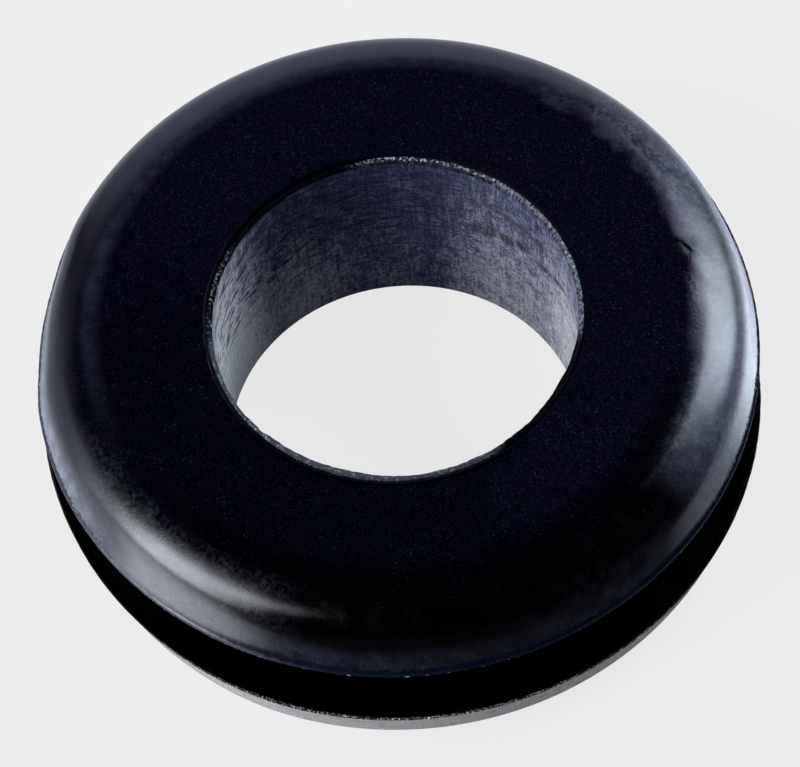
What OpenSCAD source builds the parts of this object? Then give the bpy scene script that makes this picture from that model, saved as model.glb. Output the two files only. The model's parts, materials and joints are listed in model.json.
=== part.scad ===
// Rubber grommet: one moulded ring. A cable passes through its bore, and the
// edge of a panel sits in the groove between its two flanges.

/* [Bore] */
// Diameter of the hole that the cable passes through
bore_d = 9.525; // [5:0.025:11]
// Width of the small bevel at each mouth of the bore
mouth_bevel = 0.2; // [0.05:0.05:0.5]

/* [Panel groove] */
// Diameter at the bottom of the groove, the same as the hole in the panel
groove_d = 12.7; // [12.1:0.1:16]
// Width of the groove, which takes a panel up to this thickness
groove_w = 2.3; // [0.8:0.1:5]
// Radius of the fillet where each flange meets the bottom of the groove
groove_fillet = 0.25; // [0.05:0.05:0.35]

/* [Flanges] */
// Diameter of the upper flange, at its corner beside the groove
upper_flange_d = 19.05; // [17:0.05:28]
// Thickness of the upper flange
upper_flange_t = 2; // [1.4:0.05:3]
// Diameter of the lower flange, at its corner beside the groove
lower_flange_d = 19.15; // [17:0.05:28]
// Thickness of the lower flange
lower_flange_t = 2.1; // [1.4:0.05:3]
// Lean of the outer wall of each flange, in degrees, so that it leaves the mould
wall_draft = 15; // [0:1:25]
// Radius of the round between the outer wall and the face of each flange
edge_r = 1.3; // [0.3:0.05:1.35]

/* [Hidden] */
bore_r = bore_d / 2;
groove_r = groove_d / 2;
height = lower_flange_t + groove_w + upper_flange_t;
upper_groove_z = lower_flange_t + groove_w;
// The arc of the round reaches this far past the wall and the face, so that it
// crosses both and ends cleanly. Its centre lies under them by the rest.
arc_reach = 0.002;
centre_depth = edge_r - arc_reach;
rubber = [0.06, 0.06, 0.09];
$fn = 144;

// Half section of one flange, from its groove side at 0 up to its face. The
// outer wall leans in from the sharp corner, and a round joins it to the face.
module flange_section(corner_r, thickness) {
  wall_top_r = corner_r - thickness * tan(wall_draft);
  face_end_r = wall_top_r - centre_depth * tan((90 - wall_draft) / 2);
  difference() {
    polygon([
      [0, 0],
      [corner_r, 0],
      [wall_top_r, thickness],
      [0, thickness]
    ]);
    translate([face_end_r, thickness - centre_depth]) outside_of_round();
  }
}

// Everything past the arc of the round, between the two radii that end it. The
// radii run on to twice the round's own radius, which is clear of the flange.
module outside_of_round() {
  reach = 2 * edge_r;
  difference() {
    polygon([
      [0, 0],
      reach * [cos(wall_draft), sin(wall_draft)],
      reach * [1, 1],
      [0, reach]
    ]);
    circle(r = edge_r);
  }
}

// What is left of a small square outside a circle: the fillet of an inner corner.
module fillet_section(fillet_r) {
  difference() {
    square(fillet_r);
    translate([fillet_r, fillet_r]) circle(r = fillet_r);
  }
}

// Triangle that is cut away at a mouth of the bore, which lies at height 0.
module mouth_bevel_section() {
  polygon([
    [bore_r, 0],
    [bore_r + mouth_bevel, 0],
    [bore_r, mouth_bevel]
  ]);
}

// The wall between the bore and the bottom of the groove, over the full height.
module neck_section() {
  square([groove_r, height]);
}

// Everything to the right of the axis, before the bore is cut.
module solid_section() {
  neck_section();
  translate([0, lower_flange_t]) mirror([0, 1]) flange_section(lower_flange_d / 2, lower_flange_t);
  translate([0, upper_groove_z]) flange_section(upper_flange_d / 2, upper_flange_t);
  translate([groove_r, lower_flange_t]) fillet_section(groove_fillet);
  translate([groove_r, upper_groove_z]) mirror([0, 1]) fillet_section(groove_fillet);
}

// The whole half section, with the bore and the bevels of its two mouths cut out.
module ring_section() {
  difference() {
    solid_section();
    square([bore_r, height]);
    mouth_bevel_section();
    translate([0, height]) mirror([0, 1]) mouth_bevel_section();
  }
}

// The grommet, standing on its lower flange with its axis on Z.
module grommet() {
  color(rubber) rotate_extrude() ring_section();
}

grommet();
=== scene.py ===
# %% [markdown]
# # A rubber grommet
# A grommet is a ring of soft black rubber that is pushed into a hole in a panel, so
# that a cable can pass without rubbing on the sharp edge. It is moulded in one go:
# two rounded flanges with a groove between them, and a plain bore down the middle.
#
# The construction already exists as an exact solid, so its large sizes aren't judged
# by eye. We load that solid first and take every size that we can from it.

# %% Load the solid
import json
import math

import bmesh
import bpy
from mathutils import Matrix, Vector, noise


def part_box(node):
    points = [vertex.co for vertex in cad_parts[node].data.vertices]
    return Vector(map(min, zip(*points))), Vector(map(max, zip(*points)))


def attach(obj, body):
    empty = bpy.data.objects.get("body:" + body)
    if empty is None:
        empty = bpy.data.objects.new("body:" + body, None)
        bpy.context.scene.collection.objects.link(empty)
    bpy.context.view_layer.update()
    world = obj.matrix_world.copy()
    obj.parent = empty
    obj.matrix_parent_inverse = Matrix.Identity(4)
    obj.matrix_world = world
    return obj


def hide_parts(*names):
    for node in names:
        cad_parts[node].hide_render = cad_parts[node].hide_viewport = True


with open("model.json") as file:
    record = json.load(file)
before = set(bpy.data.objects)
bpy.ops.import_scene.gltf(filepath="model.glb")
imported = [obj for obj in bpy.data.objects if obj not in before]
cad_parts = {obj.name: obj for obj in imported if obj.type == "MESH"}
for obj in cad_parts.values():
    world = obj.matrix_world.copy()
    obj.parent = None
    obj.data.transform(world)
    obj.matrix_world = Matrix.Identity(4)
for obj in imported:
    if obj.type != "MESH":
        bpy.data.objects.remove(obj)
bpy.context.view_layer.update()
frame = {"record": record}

# %% [markdown]
# ## Sizes
# The record of the solid names two mounts with measured sizes: the bore that the
# cable runs through, and the groove that grips the panel. The box of the solid gives
# the height and the radius of the lower flange, and the upper flange is a twentieth of
# a millimetre smaller. We work in millimetres, because a grommet is a small thing and
# its torn edges are hundredths of a millimetre high, and change to metres once, at the
# end.

# %% Sizes, in millimetres
MM = 0.001
mounts = {mount["name"]: mount for mount in frame["record"]["mounts"]}
bore_r = mounts["cable_bore"]["dims"]["r_mm"]
groove_r = mounts["panel_groove"]["dims"]["r_mm"]
groove_w = mounts["panel_groove"]["dims"]["length_mm"]
groove_z = mounts["panel_groove"]["pos_m"][2] / MM

high_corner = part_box("grommet")[1]
flange_difference = 0.05
height = high_corner.z / MM
lower_flange_r = high_corner.x / MM
upper_flange_r = lower_flange_r - flange_difference
lower_corner_z = groove_z - groove_w / 2
upper_corner_z = groove_z + groove_w / 2
print(f"bore radius {bore_r}, height {height:.2f}, flanges {upper_flange_r:.3f} and {lower_flange_r:.3f} mm")

# %% [markdown]
# ## The half section
# A ring that is moulded between turned tools is the same all the way round, so one
# half section tells its whole form. It could be modelled from a cylinder with loop
# cuts, but then every round has to be matched by hand. We draw the section instead,
# as a chain of edges, the way it stands on the drawing of the mould.
#
# The pen below has two strokes. A straight stroke extrudes the last vertex and moves
# it. A round is that same vertex spun about the centre of its arc. The drawing starts
# at the foot of the bore, where a little flash has filled the bevel of the solid, so
# that only a narrow break is left.

# %% A pen for drawing a section
WELD_DISTANCE = 1e-4


class SectionPen:
    """Draws a chain of edges in the XZ plane, in millimetres from the axis of the bore."""

    def __init__(self, mesh, radius, level):
        self.mesh = mesh
        self.first = mesh.verts.new((radius, 0, level))
        self.tip = self.first

    def line(self, radius, level, steps=1):
        start = self.tip.co.copy()
        end = Vector((radius, 0, level))
        for step in range(1, steps + 1):
            drawn = bmesh.ops.extrude_vert_indiv(self.mesh, verts=[self.tip])
            self.tip = drawn["verts"][0]
            self.tip.co = start.lerp(end, step / steps)

    def turn(self, centre_radius, centre_level, degrees, steps):
        swept = bmesh.ops.spin(
            self.mesh,
            geom=[self.tip],
            cent=(centre_radius, 0, centre_level),
            axis=(0, -1, 0),
            angle=math.radians(degrees),
            steps=steps,
            use_merge=False,
        )
        self.tip = next(part for part in swept["geom_last"] if isinstance(part, bmesh.types.BMVert))

    def close(self, steps=1):
        self.line(self.first.co.x, self.first.co.z, steps)
        bmesh.ops.remove_doubles(self.mesh, verts=[self.first, self.tip], dist=WELD_DISTANCE)


ring = bmesh.new()
foot_break = 0.04
pen = SectionPen(ring, bore_r, foot_break)
print("the section starts at the foot of the bore:", tuple(pen.tip.co))

# %% [markdown]
# ## The bore and its torn lip
# The bore runs straight up. On the real ring the rubber is torn out of the mould
# here, so its mouth isn't a clean corner: a thin lip stands up round it, and a narrow
# crease parts the lip from the flat face. A bevel would be quicker, but it has one
# profile and can't hold a crease, so the lip is drawn point by point. Each pair says
# how far out from the bore a point lies, and how far below the face. The rows of the
# wall lie closer together just below the lip.

# %% Draw the bore, the lip and the face
close_rows_start = 0.5
lip_start = 0.22
lip_points = [(0.012, 0.16), (0.03, 0.11), (0.06, 0.075), (0.095, 0.06), (0.13, 0.065)]
crease_points = [(0.155, 0.095), (0.18, 0.075), (0.2, 0.02), (0.225, 0.003), (0.26, 0), (0.32, 0)]
shoulder_start = 7.0

pen.line(bore_r, height - close_rows_start, 8)
pen.line(bore_r, height - lip_start, 4)
for outwards, below in lip_points + crease_points:
    pen.line(bore_r + outwards, height - below)
pen.line(shoulder_start, height, 3)
print("points so far:", len(ring.verts))

# %% [markdown]
# ## The flanges
# Each flange is a disc with a wall that leans in by 15 degrees, so that it can leave
# the mould, and a large round between that wall and the flat face. A cone with a bevel
# would come close, but a bevel is set by its width, and the round of a mould by its
# radius. The round has to touch both lines, and a little geometry gives its centre: it
# lies one radius under the face, and as far inside the wall as half of the angle
# between them asks.
#
# Where the wall meets the groove there is a sharp corner. The upper one gets a narrow
# upright band, the land, because that is where the two halves of the mould meet.
# Wide faces beside a sharp corner shade badly, so a few rows lie close together there.

# %% Draw the upper flange
draft_deg = 15
draft = math.radians(draft_deg)
edge_round = 1.3
land = 0.22
corner_break = 0.012


def wall_r(corner_r, above_corner):
    """Radius of a leaning wall at some height over its sharp corner."""
    return corner_r - above_corner * math.tan(draft)


def round_centre(corner_r, thickness):
    """Centre of a flange's round: its radius, and its height over the groove side."""
    inside_wall = edge_round * math.tan((math.pi / 2 - draft) / 2)
    return wall_r(corner_r, thickness) - inside_wall, thickness - edge_round


upper_round_r, upper_round_h = round_centre(upper_flange_r, height - upper_corner_z)
pen.line(upper_round_r, height, 9)
pen.turn(upper_round_r, upper_corner_z + upper_round_h, draft_deg - 90, 18)
pen.line(wall_r(upper_flange_r, land), upper_corner_z + land, 5)
for above in (land * 0.75, land * 0.4, 2 * corner_break, corner_break):
    pen.line(upper_flange_r, upper_corner_z + above)
for inside in (corner_break, 0.2):
    pen.line(upper_flange_r - inside, upper_corner_z)
print(f"centre of the upper round: radius {upper_round_r:.3f}, {upper_round_h:.3f} mm over the groove")

# %% [markdown]
# The panel sits in the groove. Its two inner corners are small fillets, because rubber
# that is bent round a sharp inner corner soon cracks there. A bevel on the finished
# ring would make them too, but in the section a fillet is only one more turn of the
# pen, the other way round.

# %% Draw the groove
groove_fillet = 0.25
pen.line(groove_r + groove_fillet, upper_corner_z, 2)
pen.turn(groove_r + groove_fillet, upper_corner_z - groove_fillet, 90, 3)
pen.line(groove_r, lower_corner_z + groove_fillet, 2)
pen.turn(groove_r + groove_fillet, lower_corner_z + groove_fillet, 90, 3)
print(f"groove: radius {groove_r}, from {lower_corner_z:.2f} to {upper_corner_z:.2f} mm high")

# %% [markdown]
# The lower flange is the upper one upside down, a little larger, with a blunter corner
# and no land. A mirrored copy would need as many changes as it saves, so the pen draws
# this flange as well, down to the foot, and closes the section where it began.

# %% Draw the lower flange and close the section
lower_corner_break = 0.03
lower_round_r, lower_round_h = round_centre(lower_flange_r, lower_corner_z)
pen.line(lower_flange_r - 0.3, lower_corner_z, 3)
for inside in (0.1, lower_corner_break):
    pen.line(lower_flange_r - inside, lower_corner_z)
pen.line(lower_flange_r, lower_corner_z - lower_corner_break)
for below in (0.05, 0.15):
    pen.line(wall_r(lower_flange_r, below), lower_corner_z - below)
pen.line(
    lower_round_r + edge_round * math.cos(draft),
    lower_corner_z - lower_round_h - edge_round * math.sin(draft),
    4,
)
pen.turn(lower_round_r, lower_corner_z - lower_round_h, draft_deg - 90, 10)
pen.line(bore_r + foot_break, 0, 3)
pen.close(3)
print("points in the whole section:", len(ring.verts))

# %% [markdown]
# ## From section to ring
# Spinning the section gives the ring. The torn edges are finer than a tenth of a
# millimetre, so there are 896 steps round. One spin of so many steps slows down as
# the mesh grows, so we spin one sector, copy it round and weld the seams.

# %% Spin it
sectors = 8
sector_steps = 112
sector_angle = math.tau / sectors
bmesh.ops.spin(
    ring,
    geom=ring.verts[:] + ring.edges[:],
    cent=(0, 0, 0),
    axis=(0, 0, 1),
    angle=sector_angle,
    steps=sector_steps,
    use_merge=False,
)
first_sector = ring.verts[:] + ring.edges[:] + ring.faces[:]
for sector in range(1, sectors):
    copied = bmesh.ops.duplicate(ring, geom=first_sector)["geom"]
    bmesh.ops.rotate(
        ring,
        cent=(0, 0, 0),
        matrix=Matrix.Rotation(sector * sector_angle, 3, "Z"),
        verts=[part for part in copied if isinstance(part, bmesh.types.BMVert)],
    )
bmesh.ops.remove_doubles(ring, verts=ring.verts, dist=WELD_DISTANCE)
print("ring faces:", len(ring.faces), "vertices:", len(ring.verts))

# %% [markdown]
# ## Relief
# A moulded ring is only nearly round. Its corners carry flash, the thin skin that
# creeps between the halves of a mould and tears off, and a handled one has a nick or
# two. A Displace modifier could do part of this, but it moves everything by one
# texture. Here each edge tears in its own way and only on some sides, so we move the
# vertices with short functions of place.
#
# Three helpers carry them: noise along a circle, a fade between two values, and a
# stretch of the circle with soft ends. The noise fills all space, and each seed reads
# another layer of it, so no two tears agree. An azimuth that is written as a number is
# in degrees: 0 is the right, 90 the back, 180 the left and 270 the front.

# %% Helpers for the relief
LAYER_STEP = 7.3


def tear(azimuth, radius, lump, depth, seed):
    """Uneven heights up to about depth along a circle; lump is the length of one, in mm."""
    place = Vector((radius * math.cos(azimuth), radius * math.sin(azimuth), seed * LAYER_STEP))
    return depth * noise.noise(place / lump)


def fade(value, low, high):
    """0 below low, 1 above high, smooth between."""
    share = min(max((value - low) / (high - low), 0), 1)
    return share * share * (3 - 2 * share)


def around(degrees, start, end, soft=10):
    """1 between two azimuths in degrees, fading over soft degrees at each end."""
    middle = (start + end) / 2
    half = (end - start) / 2
    away = abs((degrees - middle + 180) % 360 - 180)
    return 1 - fade(away, half - soft / 2, half + soft / 2)


print("a fade, half way:", fade(0.5, 0, 1))

# %% [markdown]
# The lip is ragged all round, but it isn't the same everywhere. On two stretches it
# has worn away, along the front it stands proud and leans into the bore, on the left
# it is scarred, and the crease beside it is deep in some places and gone in others.
# Weights painted on the vertices could say so too, but a stretch that is two azimuths
# under a name is easier to read and to change.

# %% Relief of the lip
WORN_BACK = (95, 150)
WORN_FRONT = (298, 350)
PROUD_FRONT = (218, 345)
LEANING_LEFT = (224, 260)
LEANING_RIGHT = (298, 334)
SCARRED = (176, 226)
DEEP_FRONT = (225, 300)
SHALLOW_RIGHT = (-10, 95)
SHALLOW_LEFT = (172, 226)

lip_out_r = bore_r + 0.12
crease_r = bore_r + 0.15


def lip_relief(azimuth, radius, level):
    """How far a point of the lip or the crease moves: outwards, upwards."""
    degrees = math.degrees(azimuth)
    on_lip = fade(level, height - lip_start, height - 0.1) * (1 - fade(radius, lip_out_r, crease_r))
    on_crease = fade(radius, lip_out_r, bore_r + 0.155) * (1 - fade(radius, bore_r + 0.17, bore_r + 0.21))
    torn = tear(azimuth, bore_r, lump=0.11, depth=0.012, seed=1)
    torn += tear(azimuth, bore_r, lump=0.5, depth=0.02, seed=2)
    ragged = tear(azimuth, bore_r, lump=0.13, depth=0.012, seed=3)
    ragged += tear(azimuth, bore_r, lump=0.7, depth=0.03, seed=4)
    worn = 0.05 * around(degrees, *WORN_BACK) + 0.02 * around(degrees, *WORN_FRONT)
    proud = around(degrees, *PROUD_FRONT, soft=24)
    leaning = proud + around(degrees, *LEANING_LEFT) + around(degrees, *LEANING_RIGHT)
    scar = around(degrees, *SCARRED, soft=6) * tear(azimuth, bore_r, lump=0.25, depth=0.06, seed=6)
    deep = 0.05 * around(degrees, *WORN_BACK) + 0.03 * around(degrees, *DEEP_FRONT)
    deep -= 0.06 * around(degrees, *SHALLOW_RIGHT) + 0.05 * around(degrees, *SHALLOW_LEFT)
    broken = around(degrees, *SHALLOW_LEFT) * tear(azimuth, bore_r, lump=0.35, depth=0.05, seed=7)
    upwards = on_lip * (torn - worn + scar + 0.06 * proud) - on_crease * (deep + broken)
    outwards = on_lip * (ragged + scar - 0.03 * leaning)
    return outwards, min(upwards, height - level)


print("lip at azimuth 200:", lip_relief(math.radians(200), bore_r + 0.06, height - 0.075))

# %% [markdown]
# The sharp corners of both flanges are torn as well, and evenly all round. The upper
# one also drops and rises slowly along the mould line, because the two halves of the
# mould don't close quite evenly. Sculpting would give such edges, but not the same
# ones twice.

# %% Relief of the corners
def upper_corner_relief(azimuth, radius, level):
    """How far a point by the upper corner moves: outwards, upwards."""
    on_corner = fade(radius, upper_flange_r - 0.12, upper_flange_r - 0.01)
    below = 1 - fade(level, upper_corner_z + land * 0.5, upper_corner_z + land)
    ragged = tear(azimuth, upper_flange_r, lump=0.17, depth=0.016, seed=11)
    ragged += tear(azimuth, upper_flange_r, lump=0.08, depth=0.012, seed=12)
    drop = tear(azimuth, upper_flange_r, lump=2.5, depth=0.04, seed=13)
    return on_corner * 0.5 * ragged, on_corner * below * (ragged + drop)


def lower_corner_relief(azimuth, radius):
    """How far a point by the lower corner moves: outwards, upwards."""
    on_corner = fade(radius, lower_flange_r - 0.12, lower_flange_r - 0.01)
    ragged = tear(azimuth, lower_flange_r, lump=0.3, depth=0.016, seed=21)
    ragged += tear(azimuth, lower_flange_r, lump=0.12, depth=0.014, seed=22)
    return on_corner * 0.5 * ragged, on_corner * ragged


print("upper corner at azimuth 0:", upper_corner_relief(0, upper_flange_r, upper_corner_z))

# %% [markdown]
# The shoulder of the upper flange isn't torn but handled. There the flat face starts to
# fall a little early, and the round has the faint swell of rubber that shrank as it
# cooled. A larger round would soften the shoulder too, but evenly, and here it is only
# worn where fingers and tools have been.

# %% Relief of the shoulder
swell_start = 7.2
deepest_fall = 8.5
rim_start = 9.3


def shoulder_relief(azimuth, radius, level):
    """The upper face falls early, most where it has been handled; the round swells a little."""
    degrees = math.degrees(azimuth)
    handled = 0.085 + 0.03 * around(degrees, -12, 12, 30) - 0.045 * around(degrees, 18, 60, 22)
    fall_start = 7.45 + 0.13 * around(degrees, -6, 9, 8) + 0.2 * around(degrees, 3, 10, 4)
    fall = handled * fade(radius, fall_start, deepest_fall) * (1 - fade(radius, deepest_fall, rim_start))
    place = Vector((radius * math.cos(azimuth), radius * math.sin(azimuth), level))
    swell = 0.003 * noise.noise(place / 0.9) + 0.0012 * noise.noise(place / 0.45)
    swell = fade(radius, swell_start, 8.0) * (swell + 0.012 * noise.noise(place / 3.0))
    return swell * fade(radius, 8.2, 9.2), swell * (1 - fade(radius, 8.6, rim_start)) - fall


print("shoulder at azimuth 0:", shoulder_relief(0, 8.5, height))

# %% [markdown]
# One nick crosses the shoulder on the right, as if a tool had slipped. Cut with a
# Boolean, it would leave long thin faces that shade badly. It is a bent line in plan,
# so its depth at a vertex follows from how near the vertex lies to a chain of straight
# stretches.

# %% The nick
def near_path(x, y, path):
    """Distance from a point to a chain of straight stretches."""
    point = Vector((x, y))
    distances = []
    for start, end in zip(path, path[1:]):
        share = (point - start).dot(end - start) / (end - start).length_squared
        distances.append((point - start.lerp(end, min(max(share, 0), 1))).length)
    return min(distances)


def on_face(degrees, radius):
    """A point of the upper face in plan, from its azimuth and its radius."""
    return Vector((radius * math.cos(math.radians(degrees)), radius * math.sin(math.radians(degrees))))


nick_path = [on_face(11.6, 7.2), on_face(10.9, 7.6), on_face(9.8, 7.8), on_face(7.6, 7.92)]
nick_depth = 0.011
nick_width = 0.07


def nick_relief(x, y):
    """How deep the nick is at a point in plan: a soft valley along the path."""
    return nick_depth * math.exp(-((near_path(x, y, nick_path) / nick_width) ** 2))


print("nick depth on its line:", round(nick_relief(*nick_path[1]), 4), "mm")

# %% [markdown]
# Two last departures are large and soft. The core that makes the bore didn't stand
# quite in the middle of the mould, so both flanges lie a little to one side of it. And
# each flange is a little flat in one place, where it was pulled out: the lower one on
# its front left, the upper one on its left. A lattice round the ring could push both,
# but it would take the bore with it.

# %% Move the vertices
mould_offset = -0.045
LOWER_FLAT = (190, 232)
lower_flat_depth = 0.08
UPPER_FLAT = (157, 181)
upper_flat_depth = 0.1


def rim_share(radius):
    """0 near the bore, which stays round and in its place, and 1 at the rim."""
    return fade(radius, 7.5, rim_start)


for vertex in ring.verts:
    x, y, level = vertex.co
    radius = math.hypot(x, y)
    azimuth = math.atan2(y, x)
    degrees = math.degrees(azimuth)
    outwards = 0.0
    upwards = 0.0
    if radius < bore_r + 0.35 and level > height - 0.3:
        outwards, upwards = lip_relief(azimuth, radius, level)
    elif radius > upper_flange_r - 0.15 and upper_corner_z - 0.01 < level < upper_corner_z + 0.3:
        outwards, upwards = upper_corner_relief(azimuth, radius, level)
    elif radius > lower_flange_r - 0.15 and lower_corner_z - 0.2 < level < lower_corner_z + 0.01:
        outwards, upwards = lower_corner_relief(azimuth, radius)
    elif radius > swell_start and level > upper_corner_z + 0.3:
        outwards, upwards = shoulder_relief(azimuth, radius, level)
    if level > height - 0.5 and 7 < radius < 8.4 and abs(azimuth) < 0.4:
        upwards -= nick_relief(x, y)
    if level < lower_corner_z + 0.01:
        outwards -= lower_flat_depth * around(degrees, *LOWER_FLAT, soft=30) * rim_share(radius)
    if level > upper_corner_z - 0.01:
        outwards -= upper_flat_depth * around(degrees, *UPPER_FLAT, soft=12) * rim_share(radius)
    radius += outwards
    shift = mould_offset * rim_share(radius)
    vertex.co = (radius * math.cos(azimuth) + shift, radius * math.sin(azimuth), level + upwards)
print("vertices moved:", len(ring.verts))

# %% [markdown]
# ## The object
# The mesh becomes metres, and an object at the origin. It rides on the part's one
# body, stands for the plain solid, and takes its finish from the rubber slot. Smooth
# shading suits the rounds, and edges sharper than 40 degrees are marked sharp so that
# they stay crisp.

# %% Make the object
CRISP_ANGLE = math.radians(40)

bmesh.ops.scale(ring, vec=(MM, MM, MM), verts=ring.verts)
bmesh.ops.recalc_face_normals(ring, faces=ring.faces)
grommet_mesh = bpy.data.meshes.new("grommet_ring")
ring.to_mesh(grommet_mesh)
ring.free()
grommet_mesh.shade_smooth()
grommet_mesh.set_sharp_from_angle(angle=CRISP_ANGLE)
grommet = bpy.data.objects.new("grommet_ring", grommet_mesh)
bpy.context.collection.objects.link(grommet)
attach(grommet, "root")
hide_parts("grommet")
print("triangles:", 2 * len(grommet_mesh.polygons))

# %% [markdown]
# ## Shader maths
# A finish that is written as node after node is hard to read. So one small class
# wraps a socket and knows the arithmetic that we use: an expression such as
# `1 - mask` adds the Math nodes by itself. A second class owns a node tree. One of
# its methods makes any node, and a few short ones name what we do all the time.

# %% A socket that can stand in a sum
class Wire:
    """A socket that can stand in a sum or a product, as a number does."""

    def __init__(self, book, socket):
        self.book = book
        self.socket = socket

    def _math(self, operation, *values):
        node = self.book.add("ShaderNodeMath", {"operation": operation}, dict(enumerate(values)))
        return self.book.out(node)

    def __add__(self, other):
        return self._math("ADD", self, other)

    __radd__ = __add__

    def __sub__(self, other):
        return self._math("SUBTRACT", self, other)

    def __rsub__(self, other):
        return self._math("SUBTRACT", other, self)

    def __mul__(self, other):
        return self._math("MULTIPLY", self, other)

    __rmul__ = __mul__

    def most(self, other):
        return self._math("MAXIMUM", self, other)


# %% A book of nodes
class NodeBook:
    """Adds nodes to a material, a world or a lamp, and wires them up."""

    def __init__(self, owner):
        owner.use_nodes = True
        self.tree = owner.node_tree
        self.tree.nodes.clear()

    def add(self, kind, settings=None, sockets=None):
        node = self.tree.nodes.new(kind)
        for name, value in (settings or {}).items():
            setattr(node, name, value)
        for name, value in (sockets or {}).items():
            if isinstance(value, Wire):
                self.tree.links.new(value.socket, node.inputs[name])
            elif isinstance(value, bpy.types.NodeSocket):
                self.tree.links.new(value, node.inputs[name])
            else:
                node.inputs[name].default_value = value
        return node

    def out(self, node, name=0):
        return Wire(self, node.outputs[name])

    def between(self, value, low, high):
        """0 where value is below low, 1 above high; the other way round if low is the larger."""
        node = self.add(
            "ShaderNodeMapRange",
            {"interpolation_type": "SMOOTHSTEP"},
            {"Value": value, "From Min": low, "From Max": high},
        )
        return self.out(node)

    def mix(self, share, colour_a, colour_b):
        """Colour a where share is 0, colour b where it is 1."""
        colours = [c if isinstance(c, Wire) else (*c, 1) for c in (colour_a, colour_b)]
        sockets = {"Factor": share, 6: colours[0], 7: colours[1]}
        return self.out(self.add("ShaderNodeMix", {"data_type": "RGBA"}, sockets), 2)

    def vector(self, operation, a, b=None):
        sockets = {0: a}
        if b is not None:
            sockets[1] = b
        node = self.add("ShaderNodeVectorMath", {"operation": operation}, sockets)
        return self.out(node, "Value" if operation in ("LENGTH", "DOT_PRODUCT") else "Vector")

    def noise(self, place, per_mm, octaves, rough):
        """Cloudy noise from 0 to 1, with about per_mm lumps to the millimetre."""
        sockets = {"Vector": place, "Scale": per_mm, "Detail": octaves, "Roughness": rough}
        return self.out(self.add("ShaderNodeTexNoise", {}, sockets), "Fac")

    def shader_mix(self, share, shader_a, shader_b):
        sockets = {0: share, 1: shader_a.outputs[0], 2: shader_b.outputs[0]}
        return self.add("ShaderNodeMixShader", {}, sockets)


rubber = bpy.data.materials.new("rubber")
book = NodeBook(rubber)
print("an empty book for the rubber, with", len(book.tree.nodes), "nodes")

# %% [markdown]
# ## Where on the ring?
# The rubber is one compound all over, but it doesn't look the same all over: the flat
# face is a deep navy black, the bore is bloomed grey and violet with painted light on it,
# and the corners are torn. Painting an image on unwrapped faces would do it, yet it
# would tie the finish to one picture. Instead the material works out where a point lies
# on the ring, as a radius, a level and an azimuth, in the millimetres that the ring was
# drawn in.

# %% Radius, level and zones
coordinates = book.add("ShaderNodeTexCoord")
place = book.vector("MULTIPLY", book.out(coordinates, "Object"), (1 / MM, 1 / MM, 1 / MM))
flat_place = book.vector("MULTIPLY", place, (1, 1, 0))
radius = book.vector("LENGTH", flat_place)
level = book.out(book.add("ShaderNodeSeparateXYZ", {}, {0: place}), "Z")
outward = book.vector("NORMALIZE", flat_place)


def zone(start_deg, end_deg, soft_deg=8):
    """1 between two azimuths, counted from +X towards +Y, with soft ends."""
    middle = math.radians((start_deg + end_deg) / 2)
    half = (end_deg - start_deg) / 2
    closeness = book.vector("DOT_PRODUCT", outward, (math.cos(middle), math.sin(middle), 0))
    outside = math.cos(math.radians(half + soft_deg / 2))
    inside = math.cos(math.radians(half - soft_deg / 2))
    return book.between(closeness, outside, inside)


def spot(azimuth_deg, at_level, across, up, slope=0.0):
    """A soft oval mark on an upright wall; slope is its rise per millimetre along the wall."""
    a = math.radians(azimuth_deg)
    along = book.vector("DOT_PRODUCT", place, (-math.sin(a), math.cos(a), 0))
    above = (level - at_level - along * slope) * (1 / up)
    along = along * (1 / across)
    near_side = book.between(book.vector("DOT_PRODUCT", outward, (math.cos(a), math.sin(a), 0)), 0.2, 0.6)
    return book.between(along * along + above * above, 1.0, 0.2) * near_side


def mark(middle, half_length, half_width, turn_deg):
    """A soft oval on the upper face; turn_deg is its direction from +X towards +Y."""
    t = math.radians(turn_deg)
    from_middle = book.vector("SUBTRACT", flat_place, (*middle, 0))
    along = book.vector("DOT_PRODUCT", from_middle, (math.cos(t), math.sin(t), 0)) * (1 / half_length)
    across = book.vector("DOT_PRODUCT", from_middle, (-math.sin(t), math.cos(t), 0)) * (1 / half_width)
    return book.between(along * along + across * across, 1.2, 0.3)


print("nodes that place a point:", len(book.tree.nodes))

# %% [markdown]
# From radius and level we cut the regions of the ring. They could be painted on the
# vertices, but then no edge could be finer than a face. Each is a mask that is 1 on
# its region and fades out at its edges, so no colour ends in a hard line. They are
# named for what a maker calls them. On the upper flange the flat face ends at a radius
# of about 8 mm, and the round becomes the wall at 9.2 mm, which is 5.4 mm above the
# table. The cells that follow place their films by those numbers.

# %% Regions of the bore and the upper flange
in_bore = book.between(radius, bore_r + 0.03, bore_r)
near_top = book.between(level, height - 0.24, height - 0.17)
lip = near_top * book.between(radius, crease_r, lip_out_r)
lip_edge = book.between(radius, bore_r + 0.03, bore_r + 0.07)
rim = near_top * book.between(radius, bore_r + 0.27, bore_r + 0.22)
on_top = book.between(level, height - 0.4, height - 0.02)
on_flange = book.between(level, upper_corner_z - 0.05, upper_corner_z - 0.02)
on_wall = on_flange * book.between(level, 5.5, 5.0)
on_round = book.between(radius, 7.8, 8.4) * book.between(level, upper_corner_z, upper_corner_z + 0.3)
print("nodes with the upper regions:", len(book.tree.nodes))

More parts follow.
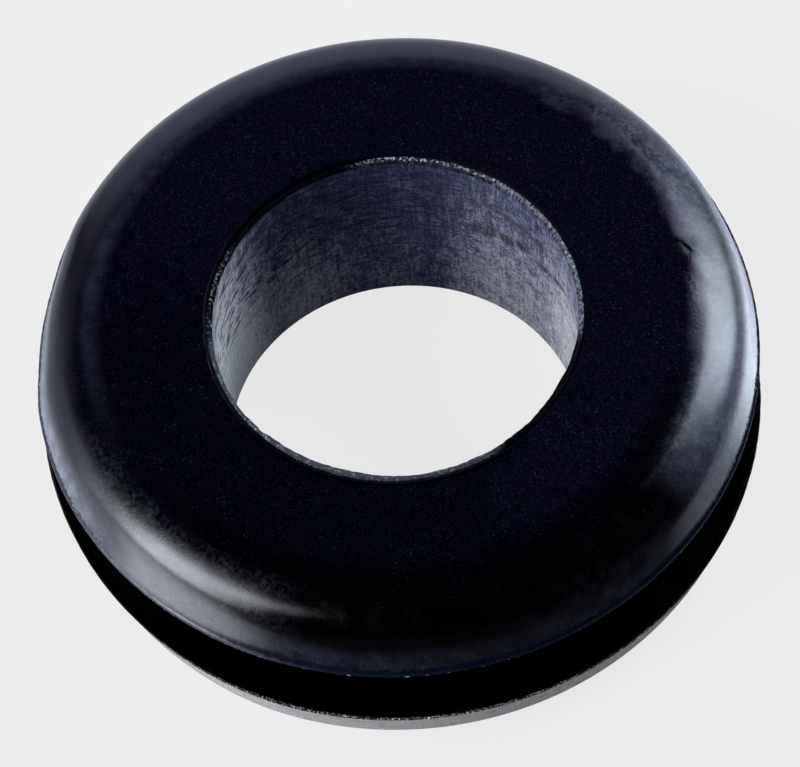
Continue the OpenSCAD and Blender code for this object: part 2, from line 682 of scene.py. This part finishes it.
# %% Regions of the corners
corner = book.between(radius, upper_flange_r - 0.1, upper_flange_r - 0.04)
corner = corner * book.between(level, upper_corner_z - 0.04, upper_corner_z - 0.01)
corner = corner * book.between(level, upper_corner_z + 0.06, upper_corner_z + 0.02)
at_lower_corner = book.between(level, lower_corner_z + 0.09, lower_corner_z + 0.05)
at_lower_corner = at_lower_corner * book.between(level, lower_corner_z - 0.06, lower_corner_z - 0.03)
lower_corner = at_lower_corner * book.between(radius, lower_flange_r - 0.075, lower_flange_r - 0.035)
lower_flash = at_lower_corner * book.between(radius, lower_flange_r - 0.16, lower_flange_r - 0.12)
lower_wall = book.between(radius, 8.4, 8.9)
lower_wall = lower_wall * book.between(level, lower_corner_z - 0.04, lower_corner_z - 0.07)
print("nodes with all regions:", len(book.tree.nodes))

# %% [markdown]
# ## Textures of the rubber
# Rubber that has lain in a drawer shows three things. Its skin has a grain of a few
# hundredths of a millimetre. Dust and bloom, the waxes that creep out of the rubber
# and dull it, lie in patches of half a millimetre and more. And the black itself
# drifts a little between blue and violet, in clouds of the same size. Each is a noise
# texture in millimetres, used wherever the finish needs it.

# %% Noise textures
grain = book.noise(place, per_mm=26, octaves=2, rough=0.7)
tints = book.noise(place, per_mm=14, octaves=1, rough=0.5)
fine = book.noise(place, per_mm=9, octaves=3, rough=0.6)
clouds = book.between(book.noise(place, per_mm=1.5, octaves=3, rough=0.55), 0.38, 0.62)
patches = book.between(book.noise(place, per_mm=1.3, octaves=5, rough=0.62), 0.4, 0.62)
dust_patches = book.between(book.noise(place, per_mm=2.2, octaves=5, rough=0.65), 0.38, 0.62)
sparkle = book.between(grain, 0.56, 0.64)
print("nodes with the noise textures:", len(book.tree.nodes))

# %% [markdown]
# ## The moulded skin
# Black rubber is never quite black. Its base colours here are a few thousandths of
# full white, a blue and a violet that drift into each other, with lighter specks of
# both where the grain catches light. One colour ramp over one noise would be shorter,
# but then the specks would follow the drift. On the front of the flat face, on the
# steep part of the round and inside the groove it is painted nearly pure black, as
# painted shade.

# %% The navy skin
SHADE_BLACK = (0.00005, 0.00005, 0.0002)
BLUE_BLACK = (0.0001, 0.0010, 0.0038)
VIOLET_BLACK = (0.0016, 0.0004, 0.0040)
BLUE_SPECK = (0.005, 0.010, 0.018)
VIOLET_SPECK = (0.011, 0.007, 0.019)
FRECKLE = (0.032, 0.036, 0.048)
FRONT_SHADE_BLACK = (0, 0, 0.0003)

navy = book.mix(clouds, BLUE_BLACK, VIOLET_BLACK)
speck = book.mix(book.between(tints, 0.42, 0.58), BLUE_SPECK, VIOLET_SPECK)
navy = book.mix(book.between(grain, 0.46, 0.76), navy, speck)
# Painted shade: the front of the flat face, the steep part of the round and the groove are painted nearly
# pure black.
shaded_front = zone(222, 335, 40) * book.between(radius, 6.9, 7.8)
navy_share = (on_top * (1 - 0.9 * shaded_front)).most(on_wall)
skin = book.mix(navy_share, SHADE_BLACK, navy)

wall_dust = on_wall * (0.4 + 0.6 * book.between(grain, 0.5, 0.7))
face_dust = on_top * book.between(grain, 0.6, 0.72)
freckles = (0.8 * wall_dust).most(0.25 * face_dust) * (0.45 + 0.55 * patches)
skin = book.mix(freckles, skin, FRECKLE)
# Painted shade: the front and front left of the flat face are painted darker still.
skin = book.mix(0.4 * on_top * zone(170, 290, 60), skin, FRONT_SHADE_BLACK)
print("nodes with the skin:", len(book.tree.nodes))

# %% [markdown]
# Bloom and dust come next, as thin grey-blue films mixed over the skin; they are partly
# real bloom and partly painted light. Most films are only a tenth or two of the mix, but
# on a base this dark that is what shows. There is a haze low on the front and on the
# right, a ring of it on the back shoulder, and dust on the right shoulder: dust with
# painted sheen where the rubber mirrors the lamps. A heavier bloom lies on the walls at
# both sides, where it also paints their reflection of the lamps and the lit table, and it
# is sprinkled as a powder over the two rounds that catch most light, as painted grain in
# their highlights. One dirt texture over everything would be less work, but these films
# lie only where they paint light.

# %% Bloom and dust
DUST_AND_SHEEN = (0.125, 0.134, 0.20)
BLOOM_AND_SHEEN = (0.22, 0.235, 0.27)
STRAY_SPECK = (0.16, 0.18, 0.22)

# Dust and painted sheen: these films lighten the flange where it mirrors the lamps.
front_haze = 0.07 * zone(292, 338, 24) * book.between(level, 6.3, 5.2) * dust_patches
right_haze = 0.2 * zone(326, 350, 20) * book.between(radius, 8.2, 8.6)
back_haze = 0.1 * zone(40, 185, 50) * book.between(radius, 7.6, 8.0) * book.between(radius, 8.35, 8.05)
back_haze = back_haze * on_top * (0.5 + 0.5 * dust_patches)
shoulder_dust_and_sheen = zone(-28, 28, 30) * book.between(radius, 7.75, 8.3) * (0.12 + 0.18 * dust_patches)
dust_and_sheen_film = on_flange * (front_haze + right_haze + back_haze + shoulder_dust_and_sheen)
skin = book.mix(dust_and_sheen_film, skin, DUST_AND_SHEEN)

# Bloom and painted reflection: the walls on both sides are lightened where they mirror the lamps and the lit
# table.
right_bloom_and_sheen = zone(4, 50, 24) * book.between(level, 6.0, 5.85) * (0.3 + 0.7 * book.between(level, 5.2, 5.7))
left_bloom_and_sheen = zone(152, 202, 30) * book.between(level, 5.8, 4.9)
wall_bloom_and_sheen = on_flange * (right_bloom_and_sheen + left_bloom_and_sheen) * (0.6 + 0.4 * dust_patches)
skin = book.mix(wall_bloom_and_sheen, skin, BLOOM_AND_SHEEN)
# Powder and painted highlight: pale grains over the two rounds that catch the softboxes.
highlight_powder_right = 0.8 * zone(-30, 42, 30) * book.between(radius, 7.7, 8.3)
highlight_powder_left = 0.25 * zone(204, 242, 22) * book.between(radius, 8.0, 8.5)
powder_and_highlight = on_flange * (highlight_powder_right + highlight_powder_left) * book.between(fine, 0.36, 0.64)
powder_and_highlight = powder_and_highlight * (0.12 + 0.28 * dust_patches)
skin = book.mix(powder_and_highlight, skin, BLOOM_AND_SHEEN)
stray = on_flange * patches * book.between(grain, 0.66, 0.74)
skin = book.mix(0.22 * stray, skin, STRAY_SPECK)
print("nodes with the bloom:", len(book.tree.nodes))

# %% [markdown]
# The corners finish the outside. The land under the wall is painted dark up to a wavy
# line, as painted shade above the groove. The torn corner above the groove gets pale
# flecks as painted glints, and the lower flange is painted a warm grey along its front,
# as a painted reflection of the table at its foot.

# %% Corners and foot
LAND_SHADE = (0.002, 0.004, 0.013)
FLAKE_GLINT = (0.7, 0.75, 0.85)
FOOT_REFLECTION = (0.33, 0.29, 0.28)
PALE_FOOT_REFLECTION = (0.7, 0.68, 0.66)
FOOT_EDGE = (0.02, 0.013, 0.01)
FOOT_GLINT = (0.8, 0.78, 0.76)

land_top = upper_corner_z + 0.17 + 0.16 * book.between(fine, 0.3, 0.7)
land_band = book.between(radius, 8.5, 9.0) * book.between(level, upper_corner_z - 0.01, upper_corner_z)
land_band = land_band * book.between(level - land_top, 0.03, 0.0)
# Painted shade: the land is painted dark up to a wavy line.
skin = book.mix(land_band, skin, LAND_SHADE)
# Painted glints: pale flecks on the torn upper corner.
skin = book.mix(0.8 * corner * book.between(fine, 0.58, 0.66), skin, FLAKE_GLINT)

# Painted reflection of the table on the front of the lower flange.
front_of_foot = zone(226, 312, 30)
foot = book.mix(0.35 * sparkle, FOOT_REFLECTION, PALE_FOOT_REFLECTION)
skin = book.mix(lower_wall * front_of_foot, skin, foot)
# Pale flecks on the lower corner are painted glints.
foot_edge = book.mix(sparkle * front_of_foot, FOOT_EDGE, FOOT_GLINT)
skin = book.mix(lower_corner, skin, foot_edge)
print("nodes with the corners:", len(book.tree.nodes))

# %% [markdown]
# ## The bore
# The bore rubbed on the core of the mould when the ring was pulled off, and the bloom
# settled in what that left. So it shows fine upright streaks, a speckle, blotches,
# short dashes on the left where it was scoured, and a faint line round it.
#
# One number, the tone, gathers all of this: how much pale bloom and painted light a
# point has. It grows towards the foot of the wall and on the right and left sides, as
# painted light from the lamps and the table. The colour then follows the tone, from
# blue-black by a muted violet or teal to nearly white.

# %% Tone of the bore
streaks = book.noise(book.vector("MULTIPLY", place, (9, 9, 0.7)), per_mm=1.4, octaves=2, rough=0.6)
streaks = book.between(streaks, 0.3, 0.7)
speckle = book.between(book.noise(place, per_mm=11, octaves=4, rough=0.75), 0.36, 0.64)
blotches = book.between(book.noise(place, per_mm=2.4, octaves=4, rough=0.6), 0.35, 0.65)
dashes = book.noise(book.vector("MULTIPLY", place, (1.7, 1.7, 8)), per_mm=1.2, octaves=3, rough=0.6)
scoured = book.between(dashes, 0.53, 0.6) * zone(70, 188, 40) * book.between(level, 1.8, 3.4)
scratch = spot(30, 4.9, 1.3, 0.03, -0.25) + spot(22, 3.6, 0.7, 0.025, -0.3)
core_line = book.between(level, 2.31, 2.26) * book.between(level, 2.2, 2.24) * zone(66, 150, 20)

near_foot = book.between(level, 6.2, 0.8)
# Painted light: the tone rises on the lit sides of the bore and towards its foot.
bloom_and_light_right = 1.35 * zone(-40, 22, 26) * (0.42 + 1.15 * near_foot)
bloom_and_light_back_right = 0.65 * zone(24, 63, 26) * (0.5 + 0.85 * near_foot)
bloom_and_light_left = 2.4 * zone(151, 222, 44) * (0.8 + 0.7 * near_foot)
even = (0.11 + 0.045 * zone(85, 125, 24) + 0.17 * zone(118, 160, 40)) * (0.55 + 1.0 * near_foot)
even = even + 0.36 * (bloom_and_light_right + bloom_and_light_back_right + bloom_and_light_left)
uneven = 0.5 * speckle + 0.25 * streaks + 0.25 * blotches - 0.5
tone = even + (0.37 + 0.7 * even) * uneven
tone = tone * (1 - 0.85 * scoured) * (1 - 0.4 * core_line) * (1 - 0.5 * scratch)
print("nodes with the tone of the bore:", len(book.tree.nodes))

# %% [markdown]
# The tone becomes colour in two steps: a thin bloom in two tints, so that the grey
# isn't flat, and a pale bloom over it where the tone is high, which is partly painted
# light. On the far side the wall has a few brown smudges. They are soft ovals that the
# streaks break up, so that they look rubbed on. An image could hold their true outlines,
# but they are too faint for that to show.

# %% Colour of the bore
BARE_BORE = (0.017, 0.020, 0.052)
TEAL_BLOOM = (0.075, 0.090, 0.145)
VIOLET_BLOOM = (0.092, 0.080, 0.145)
PALE_BLOOM_AND_LIGHT = (0.82, 0.81, 0.80)
SMUDGE = (0.032, 0.021, 0.026)

thin_bloom = book.mix(book.between(tints, 0.44, 0.56), TEAL_BLOOM, VIOLET_BLOOM)
bore_wall = book.mix(4 * tone, BARE_BORE, thin_bloom)
# Pale bloom and painted light where the tone is high.
bore_wall = book.mix(1.15 * tone - 0.25, bore_wall, PALE_BLOOM_AND_LIGHT)
smudge = spot(57, 3.75, 0.5, 0.36) + spot(48, 3.85, 0.32, 0.32) + spot(42, 4.0, 0.24, 0.24)
smudge = smudge + 0.6 * spot(45, 5.0, 1.6, 0.16, 0.05) + 0.8 * spot(26, 4.05, 1.1, 0.17, -0.35)
smudge = smudge + 0.8 * spot(36, 2.0, 0.1, 0.25) + 0.7 * spot(36, 0.85, 0.1, 0.12)
bore_wall = book.mix(smudge * (0.25 + 0.9 * streaks), bore_wall, SMUDGE)
print("nodes with the colour of the bore:", len(book.tree.nodes))

# %% [markdown]
# ## The torn lip
# Torn rubber is pale where the tear is fresh, because it is full of tiny facets, and
# as dark as the skin where the lip has worn away. On the right and at the back the
# facets stand out as single beads on the outer edge of the lip, on the left they make
# a broken grey scar, and at the front only a thin pale thread is left. As faces they
# would take a mesh ten times as fine, so they are noise within the lip's own mask.

# %% Colour of the lip
LIP_SHADE = (0.0008, 0.0010, 0.0030)
LIP_FACET = (0.42, 0.46, 0.52)
CREASE_BLACK = (0.0001, 0.0001, 0.0003)

beads = book.between(book.noise(place, per_mm=12, octaves=3, rough=0.65), 0.5, 0.64)
lip_right = zone(-12, 52, 10) * (0.3 * streaks + 0.5 * beads * lip_edge)
lip_back = zone(52, 97, 10) * (0.08 * streaks + 0.8 * beads * lip_edge)
lip_back_left = zone(150, 182, 8) * 0.7 * beads * patches
lip_left = zone(184, 226, 10) * (0.12 + 0.75 * beads * speckle)
lip_front = zone(228, 298, 8) * (0.1 + 0.5 * beads * speckle)
lip_tone = lip_right + lip_back + lip_back_left + lip_left + lip_front
rim_colour = book.mix(lip * lip_tone, LIP_SHADE, LIP_FACET)

crease_shadow = zone(222, 302, 14) * on_top * book.between(radius, bore_r + 0.42, bore_r + 0.24)
skin = book.mix(crease_shadow, skin, CREASE_BLACK)
print("nodes with the lip:", len(book.tree.nodes))

# %% [markdown]
# ## One material
# The nick is cut in the mesh, and here it is painted black, as painted shade in the
# cut, which breaks up into dark flecks further down the round. Then skin, bore and rim
# are laid over each other into one colour.
# The bump is the last of the detail: grain on the skin, streaks and scouring in the
# bore, and a coarser roughness on what is torn. It only carries what is too fine for
# the mesh, so its distance is about a thousandth of a millimetre.

# %% Colour and bump
NICK_SHADE_BLACK = (0.0004, 0.0005, 0.001)
BUMP_DISTANCE = 0.0014 * MM

# Painted shade in the nick, and dark flecks below it.
nick_shade_and_flecks = mark((7.38, 1.43), 0.34, 0.08, -5) + mark((7.77, 1.22), 0.24, 0.07, -54)
nick_shade_and_flecks = nick_shade_and_flecks + 0.6 * mark((7.81, 0.90), 0.2, 0.045, -95) + 0.9 * mark((7.62, 0.63), 0.15, 0.06, 10)
nick_shade_and_flecks = nick_shade_and_flecks + 0.7 * mark((7.77, 0.12), 0.42, 0.06, -70) * book.between(fine, 0.45, 0.6)
nick_shade_and_flecks = nick_shade_and_flecks * book.between(level, 5.9, 6.1)
skin = book.mix(nick_shade_and_flecks, skin, NICK_SHADE_BLACK)
colour = book.mix(in_bore, skin, bore_wall)
colour = book.mix(rim, colour, rim_colour)

torn = lip.most(lower_corner * front_of_foot)
scuffed = zone(354, 365, 6) * book.between(radius, 7.35, 7.7) * book.between(radius, 8.0, 7.7)
skin_bump = (1.2 + 0.6 * on_round) * grain + 0.8 * fine
bore_bump = in_bore * (5.0 * streaks + 5.0 * speckle - 18.0 * scoured)
torn_bump = (6.0 * torn + 4.0 * scuffed) * fine
bump = book.add(
    "ShaderNodeBump",
    {},
    {"Strength": 1.0, "Distance": BUMP_DISTANCE, "Height": skin_bump + bore_bump + torn_bump},
)
print("nodes with the bump:", len(book.tree.nodes))

# %% [markdown]
# Two shaders share that colour. The moulded one is smooth and mirrors the lamps,
# duller in patches where it was handled. The powdery one scatters light and hardly
# mirrors at all: it is for the bloomed bore, for tears and cuts, and for most of the
# land. One shader with a rough patch would turn dark rubber grey there, because a
# rough mirror spreads every lamp over it.

# %% Shaders
dull_round = patches * book.between(radius, 8.0, 8.5) * (1 - zone(326, 352, 16))
cloudy = zone(-8, 60, 16) * book.between(radius, 7.4, 7.7) * patches
dull = dull_round.most((1.5 + zone(14, 60, 12)) * cloudy)
roughness = 0.08 + 0.1 * dull + 0.12 * lower_wall + 0.3 * torn + 0.1 * land_band
moulded = book.add(
    "ShaderNodeBsdfPrincipled",
    {},
    {"Base Color": colour, "Roughness": roughness, "Normal": bump.outputs[0]},
)
powdery = book.add(
    "ShaderNodeBsdfPrincipled",
    {},
    {"Base Color": colour, "Roughness": 0.5, "Specular IOR Level": 0.03, "Normal": bump.outputs[0]},
)
matte_land = land_band * (1 - zone(140, 244, 24))
powder = in_bore.most(rim).most(nick_shade_and_flecks).most(lower_flash).most(corner).most(matte_land)
shader = book.shader_mix(powder, moulded, powdery)
book.add("ShaderNodeOutputMaterial", {}, {0: shader.outputs[0]})
grommet_mesh.materials.append(rubber)
print("the rubber has", len(book.tree.nodes), "nodes")

# %% [markdown]
# ## Camera
# The ring is seen from the front and about 60 degrees above the table, through a long
# lens, which keeps its ellipses calm. The camera is aimed at a point half way up the
# ring, and then rolled by a few degrees, as a hand-held one is.

# %% Camera
camera_data = bpy.data.cameras.new("camera")
camera_data.sensor_width = 36
camera_data.lens = 228.37
camera_data.clip_start = 0.01
camera_data.clip_end = 10
camera = bpy.data.objects.new("camera", camera_data)
bpy.context.collection.objects.link(camera)
camera_place = Vector((0, -68.242, 119.079)) * MM
camera_target = Vector((-0.0375, -0.1933, 3.2)) * MM
camera_roll = math.radians(-5.557)
looking = (camera_target - camera_place).to_track_quat("-Z", "Y").to_matrix().to_4x4()
camera.matrix_world = Matrix.Translation(camera_place) @ looking @ Matrix.Rotation(camera_roll, 4, "Z")
bpy.context.scene.camera = camera
print(f"camera {camera_place.length / MM:.0f} mm away")

# %% [markdown]
# ## Table
# The ring stands on a plain pale table. A glossy black thing is mostly a mirror of
# what stands round it, so the table has two jobs. To the camera it is a flat pale
# ground that keeps the soft shadow of the ring. To the ring it is coated paper that
# starts along a slanting line in front of it: what lies nearer is dark, which gives
# the front of the ring its black, and a white card lies under the bore to light it
# from below.

# %% Table
PALE_GROUND = (0.863, 0.863, 0.863)
DARK_CLOTH = (0.03, 0.03, 0.03)
WHITE_PAPER = (0.72, 0.72, 0.72)
BORE_CARD = (0.9, 0.9, 0.9)
SHADOW_PAPER = (0.80, 0.765, 0.69)
SHADOW_SHARE = 0.1
TABLE_HALF = 1.5
COATING = {"Roughness": 0.15, "IOR": 3.5}
ACROSS_THE_LINE = (-0.25, 1, 0)
PAPER_STARTS = (-12.8 * MM, -9.8 * MM)
CARD_ENDS = (5.2 * MM, 4.6 * MM)

floor_mesh = bpy.data.meshes.new("floor")
plane = bmesh.new()
bmesh.ops.create_grid(plane, x_segments=1, y_segments=1, size=TABLE_HALF)
plane.to_mesh(floor_mesh)
plane.free()
floor = bpy.data.objects.new("floor", floor_mesh)
bpy.context.collection.objects.link(floor)

table_top = bpy.data.materials.new("table_top")
book = NodeBook(table_top)
spot_on_table = book.out(book.add("ShaderNodeTexCoord"), "Object")
from_front = book.vector("DOT_PRODUCT", spot_on_table, ACROSS_THE_LINE)
paper = book.mix(book.between(from_front, *PAPER_STARTS), DARK_CLOTH, WHITE_PAPER)
under_bore = book.between(book.vector("LENGTH", spot_on_table), *CARD_ENDS)
paper = book.mix(under_bore, paper, BORE_CARD)
seen_by_ring = book.add("ShaderNodeBsdfPrincipled", {}, {"Base Color": paper, **COATING})
ground = book.add("ShaderNodeEmission", {}, {"Color": (*PALE_GROUND, 1)})
shadow = book.add("ShaderNodeBsdfDiffuse", {}, {"Color": (*SHADOW_PAPER, 1)})
seen_by_camera = book.shader_mix(SHADOW_SHARE, ground, shadow)
camera_ray = book.out(book.add("ShaderNodeLightPath"), "Is Camera Ray")
shader = book.shader_mix(camera_ray, seen_by_ring, seen_by_camera)
book.add("ShaderNodeOutputMaterial", {}, {0: shader.outputs[0]})
floor_mesh.materials.append(table_top)
print("table", 2 * TABLE_HALF, "m square")

# %% [markdown]
# ## World
# The room is almost dark, so that only the lamps show in the rubber. A bright world
# would be simpler, but it would lift the black everywhere. Behind the table the camera
# sees the same pale ground.

# %% World
DARK_ROOM = (0.004, 0.004, 0.006)

world = bpy.data.worlds.new("studio")
bpy.context.scene.world = world
book = NodeBook(world)
dark_room = book.add("ShaderNodeBackground", {}, {0: (*DARK_ROOM, 1)})
ground = book.add("ShaderNodeBackground", {}, {0: (*PALE_GROUND, 1)})
camera_ray = book.out(book.add("ShaderNodeLightPath"), "Is Camera Ray")
shader = book.shader_mix(camera_ray, dark_room, ground)
book.add("ShaderNodeOutputWorld", {}, {0: shader.outputs[0]})
print("world:", world.name)

# %% [markdown]
# ## Lamps
# The shape of each highlight on the ring is the shape of a lamp. Two softboxes, on
# the right and on the left, give the two bright patches on the round, and weaker
# panels and cards beside and behind them give the grey of the walls and the back.
# A plain area lamp has hard edges, which would draw hard lines on the rubber, so the
# strength of each lamp fades towards its edges, by its own nodes.

# %% Softboxes
COOL_LAMP = (0.87, 0.99, 1.12)
PLAIN_LAMP = (0.93, 0.97, 1.07)
CARD_COLOUR = (0.84, 0.88, 1.25)
LAMP_DISTANCE = 0.4


def fade_edges(data, start, end, bottom, top):
    """Lets a lamp fade towards its four edges, each over a share of its size."""
    book = NodeBook(data)
    on_lamp = book.out(book.add("ShaderNodeNewGeometry"), "Parametric")
    split = book.add("ShaderNodeSeparateXYZ", {}, {0: on_lamp})
    across = book.out(split, "X")
    up = book.out(split, "Y")
    strength = book.between(across, 0, start) * book.between(across, 1, 1 - end)
    strength = strength * book.between(up, 0, bottom) * book.between(up, 1, 1 - top)
    emission = book.add("ShaderNodeEmission", {}, {"Strength": strength})
    book.add("ShaderNodeOutputLight", {}, {0: emission.outputs[0]})


def softbox(name, azimuth, elevation, width_deg, height_deg, roll_deg, radiance, soft_edges, tint):
    """An area lamp that faces the ring; its width and height are angles seen from there."""
    data = bpy.data.lights.new(name, "AREA")
    data.shape = "RECTANGLE"
    data.size = 2 * LAMP_DISTANCE * math.tan(math.radians(width_deg / 2))
    data.size_y = 2 * LAMP_DISTANCE * math.tan(math.radians(height_deg / 2))
    data.energy = radiance * math.pi * data.size * data.size_y
    data.color = tint
    fade_edges(data, *soft_edges)
    lamp = bpy.data.objects.new(name, data)
    bpy.context.collection.objects.link(lamp)
    a = math.radians(azimuth)
    e = math.radians(elevation)
    stand = Vector((math.cos(a) * math.cos(e), math.sin(a) * math.cos(e), math.sin(e))) * LAMP_DISTANCE
    facing = (-stand).to_track_quat("-Z", "Y").to_matrix().to_4x4()
    lamp.matrix_world = Matrix.Translation(stand) @ facing @ Matrix.Rotation(math.radians(roll_deg), 4, "Z")
    lamp.visible_camera = False
    print(f"{name}: {data.size:.2f} by {data.size_y:.2f} m, {data.energy:.2f} W")


# %% [markdown]
# Each lamp is placed by how the ring sees it, so a highlight can be moved without
# working out a place in metres. A row gives the azimuth, elevation, width, height and
# roll in degrees, then the radiance, which is how bright the middle looks whatever the
# size, then the four soft edges as shares of the width and height, and the tint.

# %% Place the lamps
softbox("softbox_right", 30, 34, 40, 56, -26, 10.4, (0.5, 0.55, 0.5, 0.35), COOL_LAMP)
softbox("softbox_right_top", 58, 50, 22, 14, 0, 3, (0.4, 0.3, 0.3, 0.3), CARD_COLOUR)
softbox("side_right", 25, 20, 60, 56, -10, 1.0, (0.5, 0.3, 0.15, 0.4), COOL_LAMP)
softbox("softbox_left", 208, 28.5, 42, 68, 0, 9.2, (0.2, 0.45, 0.35, 0.35), PLAIN_LAMP)
softbox("side_left", 186, 24, 50, 60, 10, 1.8, (0.5, 0.3, 0.1, 0.4), PLAIN_LAMP)
softbox("card_back", 91, 16, 92, 54, 7, 0.8, (0.1, 0.4, 0.1, 0.4), CARD_COLOUR)
softbox("card_back_left", 164, 14, 66, 50, -15, 0.9, (0.4, 0.2, 0.1, 0.4), CARD_COLOUR)

# %% [markdown]
# ## Finish
# The view stays Standard, so that a colour renders about as it is written.

# %% Finish
bpy.context.scene.view_settings.view_transform = "Standard"
